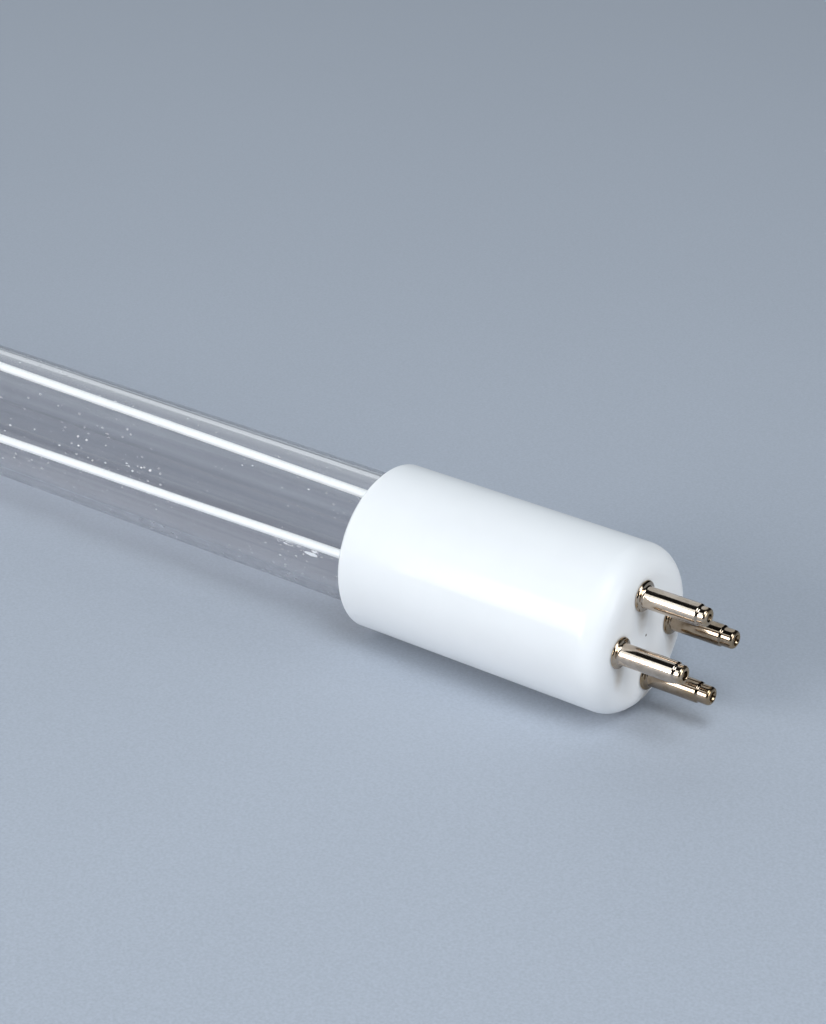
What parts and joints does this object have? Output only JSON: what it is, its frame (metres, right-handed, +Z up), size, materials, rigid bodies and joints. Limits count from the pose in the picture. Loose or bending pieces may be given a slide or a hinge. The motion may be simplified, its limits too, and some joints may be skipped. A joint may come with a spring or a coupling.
{
  "type": "uv lamp",
  "caption": "Straight clear quartz ultraviolet lamp with a white ceramic pin base, a plain ceramic cap and two sleeved return wires along the tube.",
  "frame": {"origin": "middle of the base's pin face, on the lamp's axis", "axes": "+X along the axis and out through the pins, +Z up as the lamp lies on its round ends"},
  "size_m": [0.2198, 0.0186, 0.0186],
  "materials": {
    "ceramic": "satin white",
    "quartz": "clear polished",
    "cement": "matte",
    "pin_metal": "nickel plated",
    "tungsten": "dull, coated",
    "foil": "bright",
    "lead_wire": "drawn",
    "sleeve": "matte white",
    "mercury": "mirror"
  },
  "bodies": {
    "root": {"base_cement": "cement", "cap_cement": "cement", "contact_pin_1": "pin_metal", "contact_pin_2": "pin_metal", "contact_pin_3": "pin_metal", "contact_pin_4": "pin_metal", "end_cap": "ceramic", "far_filament": "tungsten", "far_foil_lower": "foil", "far_foil_upper": "foil", "far_lead_lower": "lead_wire", "far_lead_upper": "lead_wire", "far_support_lower": "lead_wire", "far_support_upper": "lead_wire", "mercury_bead": "mercury", "near_filament": "tungsten", "near_foil_lower": "foil", "near_foil_upper": "foil", "near_lead_lower": "lead_wire", "near_lead_upper": "lead_wire", "near_support_lower": "lead_wire", "near_support_upper": "lead_wire", "pin_base": "ceramic", "quartz_tube": "quartz", "return_wire_lower": "lead_wire", "return_wire_upper": "lead_wire", "sleeve_lower": "sleeve", "sleeve_upper": "sleeve"}
  },
  "joints": []
}
